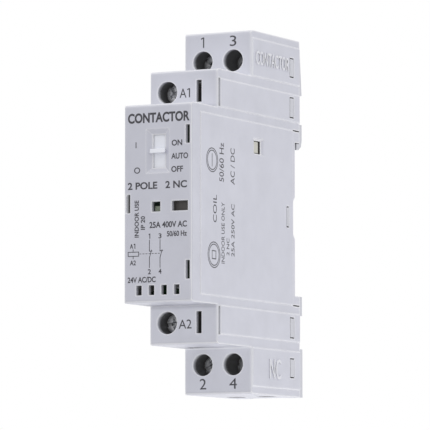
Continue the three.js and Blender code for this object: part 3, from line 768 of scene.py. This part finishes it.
def make_led():
    """A clear 2.5 mm lamp: domed front, flange at the board."""
    low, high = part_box("status_led")
    tip, back = depth_of(low.y), depth_of(high.y)
    dome = 1.25
    flange = 1.5
    flange_thick = 0.55
    chamfer = 0.05
    steps = 8
    profile = [(0, tip)]
    for i in range(1, steps + 1):
        angle = TURN / 4 * i / steps
        profile.append((dome * math.sin(angle), tip + dome * (1 - math.cos(angle))))
    flange_front = back - flange_thick
    profile += [(dome, flange_front), (flange - chamfer, flange_front), (flange, flange_front + chamfer),
                (flange, back), (0, back)]
    bm = bmesh.new()
    lathe(bm, profile, *box_middle(low, high))
    stand_in(mesh_piece("status_led_dome", bm, sharp_angle=40), "status_led", "led")


def make_varistor():
    """A lacquered disc with a rounded rim, standing on two wire legs."""
    low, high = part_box("varistor")
    front, board = depth_of(low.y), depth_of(high.y)
    x, z = box_middle(low, high)
    radius = (high.x - low.x) / 2 / MM
    thick = 2.2
    rim = 0.7
    leg_apart = 2.1
    leg_radius = 0.3
    leg_start = front + 1.2
    steps = 8
    profile = [(0, front)]
    for i in range(steps + 1):
        angle = TURN / 2 * i / steps
        profile.append((radius - rim + rim * math.sin(angle), front + thick / 2 * (1 - math.cos(angle))))
    profile.append((0, front + thick))
    leg = [(0, leg_start), (leg_radius, leg_start), (leg_radius, board), (0, board)]
    bm = bmesh.new()
    lathe(bm, profile, x, z)
    for leg_x in (x - leg_apart, x + leg_apart):
        lathe(bm, leg, leg_x, z, 12)
    stand_in(mesh_piece("varistor_disc", bm, sharp_angle=50), "varistor", "varistor")


def make_pin():
    """The pin that joins armature and carrier, with chamfered ends."""
    low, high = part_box("armature_pin")
    middle = (low + high) / 2
    radius = (high.z - low.z) / 2
    chamfer = 0.2 * MM
    stations = [(low.x, radius - chamfer), (low.x + chamfer, radius), (high.x - chamfer, radius),
                (high.x, radius - chamfer)]
    bm = bmesh.new()
    rings = []
    for x, reach in stations:
        around = [(middle.y + reach * math.cos(a), middle.z + reach * math.sin(a)) for a in circle(28)]
        rings.append([bm.verts.new((x, y, z)) for y, z in around])
    skin(bm, rings)
    bm.faces.new(rings[0])
    bm.faces.new(rings[-1])
    stand_in(mesh_piece("armature_pin_turned", bm), "armature_pin", "steel")


# ----------------------------------------------------------------------------
# Print and embossing
# ----------------------------------------------------------------------------
class Face:
    """A face to print on. u runs along the text, v up the letters and the normal out of the part."""

    def __init__(self, origin, u, v, proud=0.02, sunk=0.01):
        self.origin = origin
        self.u = Vector(u)
        self.v = Vector(v)
        self.normal = self.u.cross(self.v)
        self.proud = proud
        self.sunk = sunk

    def point(self, u, v, height):
        """height goes from 0, sunk in the face, to 1, proud of it."""
        out = height * (self.proud + self.sunk) - self.sunk
        return self.origin + (self.u * u + self.v * v + self.normal * out) * MM


def add_prism(bm, face, outer, inner=None):
    """Adds a flat shape given by (u, v) corners, or the band between two such outlines."""
    levels = []
    for outline in (outer, inner) if inner else (outer,):
        levels.append([[bm.verts.new(face.point(u, v, height)) for u, v in outline] for height in (0, 1)])
    for walls in levels:
        skin(bm, walls)
    if not inner:
        bm.faces.new(levels[0][0])
        bm.faces.new(levels[0][1])
        return
    for level in (0, 1):
        skin(bm, [levels[0][level], levels[1][level]])


def add_line(bm, face, u0, v0, u1, v1, width):
    along = Vector((u1 - u0, v1 - v0)).normalized()
    aside = Vector((-along.y, along.x)) * width / 2
    corners = [(u0 + aside.x, v0 + aside.y), (u0 - aside.x, v0 - aside.y),
               (u1 - aside.x, v1 - aside.y), (u1 + aside.x, v1 + aside.y)]
    add_prism(bm, face, corners)


def add_frame(bm, face, u0, u1, v0, v1, width):
    """Adds a rectangle drawn with a line of that width inside its edges."""
    outlines = []
    for inset in (0, width):
        left, right, bottom, top = u0 + inset, u1 - inset, v0 + inset, v1 - inset
        outlines.append([(left, bottom), (right, bottom), (right, top), (left, top)])
    add_prism(bm, face, *outlines)


def add_ring(bm, face, u, v, radius, width, stretch=1.0):
    """Adds a ring. stretch makes it taller or flatter than it is wide."""
    outlines = []
    for reach in (radius, radius - width):
        outlines.append([(u + reach * math.cos(a), v + reach * stretch * math.sin(a)) for a in circle(40)])
    add_prism(bm, face, *outlines)


def add_text(bm, face, text, u0, u1, v0, v1, weight=0.0):
    """Adds text that exactly fills the rectangle. weight makes the strokes bolder or, below zero, finer."""
    data = bpy.data.curves.new("text", "FONT")
    data.body = text
    data.extrude = 0.5
    data.offset = weight
    data.resolution_u = 5
    holder = link_object("text", data)
    graph = bpy.context.evaluated_depsgraph_get()
    mesh = bpy.data.meshes.new_from_object(holder.evaluated_get(graph))
    bpy.data.objects.remove(holder)
    low = [min(vertex.co[i] for vertex in mesh.vertices) for i in range(2)]
    high = [max(vertex.co[i] for vertex in mesh.vertices) for i in range(2)]
    letters = bmesh.new()
    letters.from_mesh(mesh)
    bmesh.ops.remove_doubles(letters, verts=letters.verts, dist=1e-5)
    for vertex in letters.verts:
        u = u0 + (vertex.co.x - low[0]) / (high[0] - low[0]) * (u1 - u0)
        v = v0 + (vertex.co.y - low[1]) / (high[1] - low[1]) * (v1 - v0)
        vertex.co = face.point(u, v, vertex.co.z + 0.5)
    letters.to_mesh(mesh)
    letters.free()
    bm.from_mesh(mesh)
    bpy.data.meshes.remove(mesh)


def add_one(bm, face, u, v0, v1, width):
    """Adds the numeral one: a stem with a flag at its top."""
    height = v1 - v0
    add_line(bm, face, u, v0, u, v1, width)
    near_u, near_v = u - 0.06 * height, v1 - 0.04 * height
    far_u, far_v = u - 0.27 * height, v1 - 0.16 * height
    add_line(bm, face, near_u, near_v, far_u, far_v, width * 0.9)


def add_texts(bm, face, weight, texts):
    """Adds several texts, each given as the text and its rectangle u0, u1, v0, v1."""
    for text, *rectangle in texts:
        add_text(bm, face, text, *rectangle, weight)


def print_piece(name, bm, slot="ink"):
    """Print or embossing as a piece that moves with the housing. slot names its material."""
    piece = mesh_piece(name, bm)
    piece.data.materials.append(materials[slot])
    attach(piece, "frame")


ACROSS = (1, 0, 0)
BACKWARDS = (0, 1, 0)
FORWARDS = (0, -1, 0)
UPWARDS = (0, 0, 1)
LEFTWARDS = (-1, 0, 0)


def make_front_print():
    """Generic title, selector positions, ratings and use on the front face."""
    front = Face(place(0, 0, 0), ACROSS, UPWARDS)
    upright = Face(place(0, 0, 0), UPWARDS, LEFTWARDS)
    bold = 0.035
    medium = 0.024
    bm = bmesh.new()
    add_text(bm, front, "CONTACTOR", -7.7, 8.2, 18.2, 20.5, bold)
    add_line(bm, front, -5.6, 12.6, -5.6, 13.95, 0.2)
    add_ring(bm, front, -5.3, 7.5, 0.78, 0.24, 0.9)
    add_texts(bm, front, medium, (
        ("ON", 3.6, 6.3, 12.7, 14.05),
        ("AUTO", 3.5, 7.8, 9.7, 11.05),
        ("OFF", 3.5, 6.5, 6.75, 8.1),
        ("2 POLE   2 NC", -7.7, 7.5, 3.15, 4.8),
        ("25A 400V AC", -2.1, 7.5, -5.7, -4.3),
        ("50/60 Hz", 2.4, 7.5, -7.75, -6.5),
    ))
    add_texts(bm, upright, medium, (
        ("INDOOR USE", -7.7, 0.7, 4.85, 5.95),
        ("IP 20", -6.0, -2.9, 3.25, 4.35),
    ))
    add_text(bm, front, "24V AC/DC", -7.7, -0.5, -17.95, -16.65, medium)
    print_piece("front_print", bm)


def make_wiring_diagram():
    """Coil A1-A2 and the two break contacts 1-2 and 3-4."""
    front = Face(place(0, 0, 0), ACROSS, UPWARDS)
    line = 0.16
    stroke = 0.2
    weight = 0.02
    coil_top, coil_bottom, coil_middle = -10.9, -12.0, -6.3
    bm = bmesh.new()
    add_text(bm, front, "A", -7.15, -6.3, -10.2, -9.1, weight)
    add_one(bm, front, -5.85, -10.2, -9.1, stroke)
    add_text(bm, front, "A2", -7.15, -5.6, -13.95, -12.85, weight)
    add_frame(bm, front, -7.67, -4.8, coil_bottom, coil_top, line)
    add_line(bm, front, coil_middle, coil_top, coil_middle, coil_top + 0.55, line)
    add_line(bm, front, coil_middle, coil_bottom, coil_middle, coil_bottom - 0.55, line)
    for u, lower in ((-2.1, "2"), (0.63, "4")):
        add_text(bm, front, lower, u - 0.38, u + 0.38, -16.1, -14.95, weight)
        # upper lead with its fixed contact, lower lead, and the slanted moving contact that closes the two
        add_line(bm, front, u, -8.3, u, coil_top, line)
        add_line(bm, front, u - line / 2, coil_top, u + 0.75, coil_top, line)
        add_line(bm, front, u, -12.3, u, -14.7, line)
        add_line(bm, front, u, -12.4, u + 0.55, -10.6, line)
    add_one(bm, front, -2.0, -8.1, -6.95, stroke)
    add_text(bm, front, "3", 0.25, 1.0, -8.1, -6.95, weight)
    for i in range(7):
        start = -4.7 + i * 0.8
        add_line(bm, front, start, -11.45, start + 0.5, -11.45, line * 0.8)
    print_piece("wiring_diagram", bm)


def make_terminal_print():
    """Numbers beside the screws of the coil step and the main step."""
    coil = Face(place(0, STEP_DEPTHS["coil"], 0), ACROSS, UPWARDS)
    main = Face(place(0, STEP_DEPTHS["main"], 0), ACROSS, UPWARDS)
    bm = bmesh.new()
    add_text(bm, coil, "A", -1.0, 0.75, 25.05, 27.15)
    add_one(bm, coil, 1.55, 25.05, 27.15, 0.28)
    add_text(bm, coil, "A2", -1.2, 2.1, -27.8, -25.75)
    add_one(bm, main, -3.75, 38.6, 41.05, 0.3)
    add_text(bm, main, "3", 3.15, 4.85, 38.6, 41.05)
    add_text(bm, main, "2", -4.75, -3.05, -40.9, -38.45)
    add_text(bm, main, "4", 3.0, 4.95, -40.9, -38.45)
    print_piece("terminal_numbers", bm)


def make_side_print():
    """Generic ratings on the right-hand panel, reading upwards, and two plain signs in double rings."""
    side = Face(place(PANEL_FACE, 0, 0), UPWARDS, FORWARDS)
    line = 0.2
    ring_gap = 0.5
    bm = bmesh.new()
    for z, depth, radius in ((10.1, 9.3, 2.8), (-11.4, 10.2, 3.0)):
        for reach in (radius, radius - ring_gap):
            add_ring(bm, side, z, -depth, reach, line)
    add_line(bm, side, 8.6, -9.3, 11.6, -9.3, line)
    add_frame(bm, side, -12.4, -10.4, -11.2, -9.2, line)
    add_texts(bm, side, 0, (
        ("50/60 Hz", 5.5, 14.4, -14.9, -12.8),
        ("AC / DC", 5.3, 13.6, -20.2, -18.2),
        ("COIL", -4.0, 2.3, -11.5, -9.8),
        ("INDOOR USE ONLY", -13.1, 0.8, -15.3, -13.8),
        ("2 NC", -11.1, -7.2, -17.6, -16.3),
        ("25A 250V AC", -11.2, 0.8, -20.1, -18.6),
    ))
    print_piece("side_print", bm)


def make_embossing():
    """Raised generic wording on the terminal panels of both sides."""
    title_span = (30.6, 47.4)
    kind_span = (37.4, 43.0)
    for side_name, side in (("right", 1), ("left", -1)):
        u = BACKWARDS if side > 0 else FORWARDS
        face = Face(place(side * PANEL_FACE, 0, 0), u, UPWARDS, proud=0.2, sunk=0.05)
        title = sorted(side * depth for depth in title_span)
        kind = sorted(side * depth for depth in kind_span)
        bm = bmesh.new()
        add_text(bm, face, "CONTACTOR", *title, 34.3, 37.5, 0.012)
        add_text(bm, face, "NC", *kind, -38.3, -33.7)
        print_piece(f"embossing_{side_name}", bm, "housing")


# ----------------------------------------------------------------------------
# Light, floor and camera
# ----------------------------------------------------------------------------
def make_world():
    """White backdrop for the camera. The light comes from a softer sky, brighter overhead and behind."""
    mean = 0.92
    towards = {"X": 0.02, "Y": 0.12, "Z": 0.3}
    world = bpy.data.worlds.new("studio")
    world.use_nodes = True
    tree = world.node_tree
    direction = add_node(tree, "TexCoord", {}).outputs["Generated"]
    parts = add_node(tree, "SeparateXYZ", {"Vector": direction}).outputs
    strength = mean
    for axis, slope in towards.items():
        strength = math_node(tree, "MULTIPLY_ADD", parts[axis], slope, strength)
    sky = add_node(tree, "Background", {"Color": WHITE, "Strength": strength})
    backdrop = add_node(tree, "Background", {"Color": WHITE, "Strength": 1.0})
    seen = add_node(tree, "LightPath", {}).outputs["Is Camera Ray"]
    mixed = add_node(tree, "MixShader", {0: seen, 1: sky.outputs[0], 2: backdrop.outputs[0]})
    tree.links.new(mixed.outputs[0], tree.nodes["World Output"].inputs["Surface"])
    scene.world = world


def make_softbox(name, location, size, power):
    """A square area light, in metres and watts, that faces the module."""
    data = bpy.data.lights.new(name, "AREA")
    data.shape = "SQUARE"
    data.size = size
    data.energy = power
    light = link_object(name, data)
    light.visible_camera = False
    light.location = location
    light.rotation_euler = (-Vector(location)).to_track_quat("-Z", "Y").to_euler()


def make_floor():
    """A plain pale floor, below the camera, so that the module hangs free above it."""
    floor_level = -100 * MM
    half = 3.0
    bm = bmesh.new()
    corners = [(-half, -half), (half, -half), (half, half), (-half, half)]
    bm.faces.new([bm.verts.new((x, y, floor_level)) for x, y in corners])
    floor = mesh_piece("floor", bm)
    material, tree, shader, position = new_material("pale_floor")
    cloud = noise(tree, position, 4, 3)
    body = mix_colour(tree, cloud, colour(236, 236, 236), colour(242, 242, 242))
    connect(tree, shader, Base_Color=body, Roughness=0.8)
    floor.data.materials.append(material)
    floor.visible_diffuse = False
    floor.visible_shadow = False


def make_camera():
    """A long lens, a metre away to the right and slightly below, looking a little upwards."""
    data = bpy.data.cameras.new("camera")
    data.lens = 340.744
    data.sensor_width = 36
    data.shift_y = -0.0016
    data.clip_start = 0.01
    data.clip_end = 10
    camera = link_object("camera", data)
    right = Vector((0.8818, 0.4716, 0.0)).normalized()
    forward = Vector((-0.4698, 0.8785, 0.0870)).normalized()
    up = right.cross(forward)
    right = forward.cross(up)
    camera.rotation_mode = "QUATERNION"
    camera.rotation_quaternion = Matrix((right, up, -forward)).transposed().to_quaternion()
    camera.location = (0.4421, -0.85025, -0.0824)
    scene.camera = camera


# ----------------------------------------------------------------------------
# Build
# ----------------------------------------------------------------------------
make_housing()
refined("rear_base", "base", 0.12, clamp=True)
refined("rail_clip", "dark", 0.15)
refined("selector_slider", "selector", 0.12, 3)
refined("status_flag", "dark", 0.08)
refined("light_guide", "lens", 0.1)
refined("circuit_board", "board", 0.05)
refined("bridge_rectifier", "bobbin", 0.1)
refined("fixed_core", "iron", 0.1)
refined("armature", "iron", 0.1)
refined("coil_bobbin", "bobbin", 0.1)
refined("contact_carrier", "carrier", 0.1)
for bridge_side in ("left", "right"):
    refined(f"contact_bridge_{bridge_side}", "brass", 0.1)
for terminal in ("1", "2", "3", "4", "A1", "A2"):
    refined(f"clamp_cage_{terminal}", "steel", 0.1)
for terminal in "1234":
    refined(f"fixed_contact_bar_{terminal}", "brass", 0.1)
for terminal in ("A1", "A2"):
    refined(f"coil_terminal_bar_{terminal}", "brass", 0.1)
make_springs()
make_coil_leads()
make_winding()
make_screws()
make_contact_tips()
make_led()
make_varistor()
make_pin()
make_front_print()
make_wiring_diagram()
make_terminal_print()
make_side_print()
make_embossing()

scene.view_settings.view_transform = "Standard"
make_world()
make_softbox("fill_light", (0.042, 0.098, -0.26), 0.1, 0.28)
make_floor()
make_camera()
